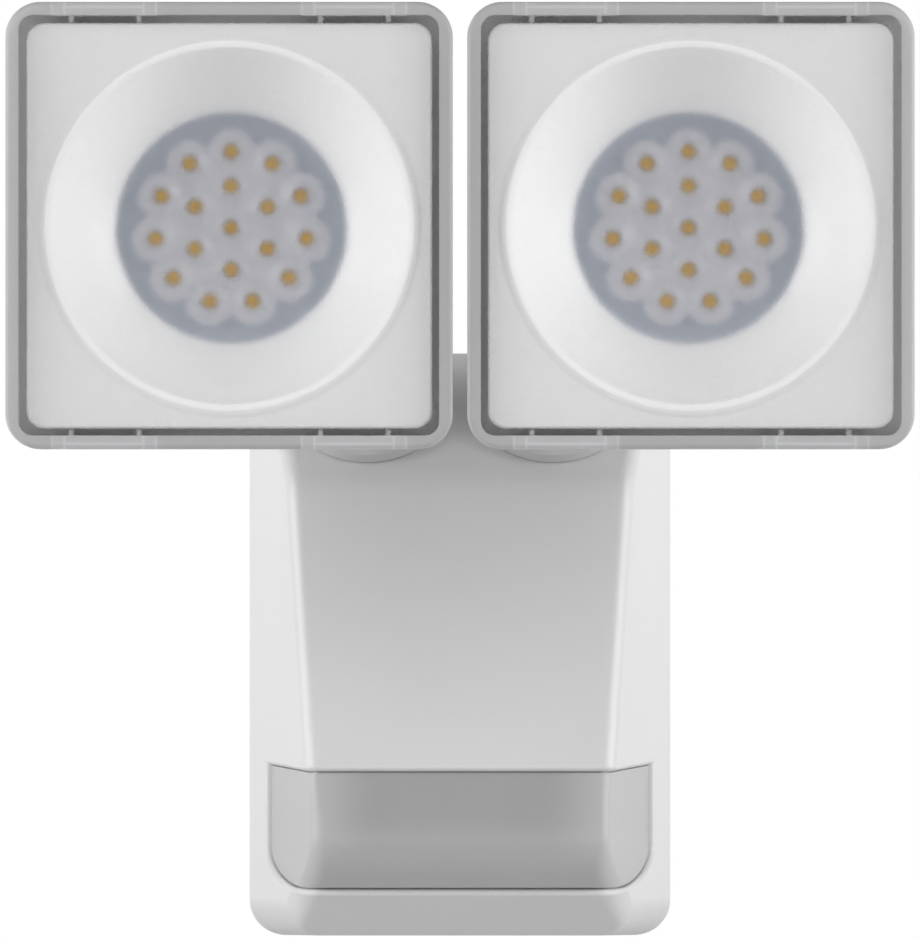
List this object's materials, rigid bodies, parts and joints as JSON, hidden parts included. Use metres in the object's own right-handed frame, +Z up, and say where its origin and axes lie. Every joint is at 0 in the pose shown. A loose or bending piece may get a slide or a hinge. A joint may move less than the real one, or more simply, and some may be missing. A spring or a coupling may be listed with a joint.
{
  "type": "motion sensor security light",
  "caption": "Wall light with a wedge-shaped body, a wrap-round motion sensor window and square lamp heads that swivel and tilt on elbow arms.",
  "frame": {"origin": "middle of the wall plate face that rests on the wall, level with the two level screw slots", "axes": "+Z up, +Y into the wall, +X to the right as seen from the front; the front looks along -Y"},
  "size_m": [0.1958, 0.12, 0.2083],
  "materials": {
    "housing_plastic": "smooth white moulded plastic, semi-gloss",
    "window_plastic": "semi-translucent pale grey moulded plastic, semi-matt",
    "plate_plastic": "plain white moulded plastic",
    "foam_seal": "closed-cell foam, black",
    "grommet_rubber": "soft black rubber",
    "terminal_plastic": "off-white moulded nylon",
    "screw_steel": "zinc-plated steel",
    "board_laminate": "green glass-fibre laminate",
    "component_plastic": "dark moulded electronic components",
    "trimmer_plastic": "dark moulded potentiometers",
    "sensor_can": "nickel-plated steel can",
    "dial_plastic": "dark grey moulded plastic",
    "arm_metal": "cast aluminium, coated satin white",
    "seal_rubber": "soft black rubber",
    "washer_steel": "zinc-plated steel",
    "nut_steel": "zinc-plated steel",
    "tilt_washer_plastic": "pale grey plastic",
    "cap_plastic": "smooth white moulded plastic",
    "casing_metal": "cast aluminium, coated satin white",
    "cover_plastic": "frosted translucent moulded plastic",
    "gasket_rubber": "grey silicone rubber",
    "reflector_plastic": "glossy white moulded plastic",
    "lamp_board": "aluminium-cored board with a white lacquer",
    "lamp_phosphor": "ochre phosphor in a pale package",
    "lens_plastic": "clear moulded plastic"
  },
  "bodies": {
    "housing": {"body_housing": "housing_plastic", "sensor_window": "window_plastic", "wall_gasket": "foam_seal", "wall_plate": "plate_plastic", "cable_grommet": "grommet_rubber", "terminal_block": "terminal_plastic", "housing_screws": "screw_steel", "driver_board": "board_laminate", "board_screws": "screw_steel", "driver_components": "component_plastic", "sensor_board": "board_laminate", "control_board": "board_laminate", "dial_potentiometers": "trimmer_plastic", "infrared_sensor": "sensor_can"},
    "arm_left": {"swivel_arm_left": "arm_metal", "swivel_seal_left": "seal_rubber", "swivel_washer_left": "washer_steel", "swivel_nut_left": "nut_steel", "tilt_washer_left": "tilt_washer_plastic", "tilt_cap_left": "cap_plastic"},
    "head_left": {"head_casing_left": "casing_metal", "front_cover_left": "cover_plastic", "cover_gasket_left": "gasket_rubber", "reflector_left": "reflector_plastic", "led_board_left": "lamp_board", "led_chips_left": "lamp_phosphor", "lens_sheet_left": "lens_plastic"},
    "arm_right": {"swivel_arm_right": "arm_metal", "swivel_seal_right": "seal_rubber", "swivel_washer_right": "washer_steel", "swivel_nut_right": "nut_steel", "tilt_washer_right": "tilt_washer_plastic", "tilt_cap_right": "cap_plastic"},
    "head_right": {"head_casing_right": "casing_metal", "front_cover_right": "cover_plastic", "cover_gasket_right": "gasket_rubber", "reflector_right": "reflector_plastic", "led_board_right": "lamp_board", "led_chips_right": "lamp_phosphor", "lens_sheet_right": "lens_plastic"},
    "time_dial_knob": {"time_dial": "dial_plastic"},
    "dusk_dial_knob": {"dusk_dial": "dial_plastic"},
    "range_dial_knob": {"range_dial": "dial_plastic"}
  },
  "joints": [
    {"name": "swivel_right", "type": "hinge", "parent": "housing", "child": "arm_right", "pos_m": [0.0211, -0.0258, 0.0539], "axis": [0, -0.7071, 0.7071], "range_deg": [0, 50]},
    {"name": "tilt_right", "type": "hinge", "parent": "arm_right", "child": "head_right", "pos_m": [0.0211, -0.0649, 0.093], "axis": [1, 0, 0], "range_deg": [0, 45]},
    {"name": "swivel_left", "type": "hinge", "parent": "housing", "child": "arm_left", "pos_m": [-0.0211, -0.0258, 0.0539], "axis": [0, 0.7071, -0.7071], "range_deg": [0, 50]},
    {"name": "tilt_left", "type": "hinge", "parent": "arm_left", "child": "head_left", "pos_m": [-0.0211, -0.0649, 0.093], "axis": [1, 0, 0], "range_deg": [0, 45]},
    {"name": "time_dial_turn", "type": "hinge", "parent": "housing", "child": "time_dial_knob", "pos_m": [-0.014, -0.025, -0.0625], "axis": [0, 0, 1], "range_deg": [0, 270]},
    {"name": "dusk_dial_turn", "type": "hinge", "parent": "housing", "child": "dusk_dial_knob", "pos_m": [0, -0.025, -0.0625], "axis": [0, 0, 1], "range_deg": [0, 270]},
    {"name": "range_dial_turn", "type": "hinge", "parent": "housing", "child": "range_dial_knob", "pos_m": [0.014, -0.025, -0.0625], "axis": [0, 0, 1], "range_deg": [0, 270]}
  ]
}
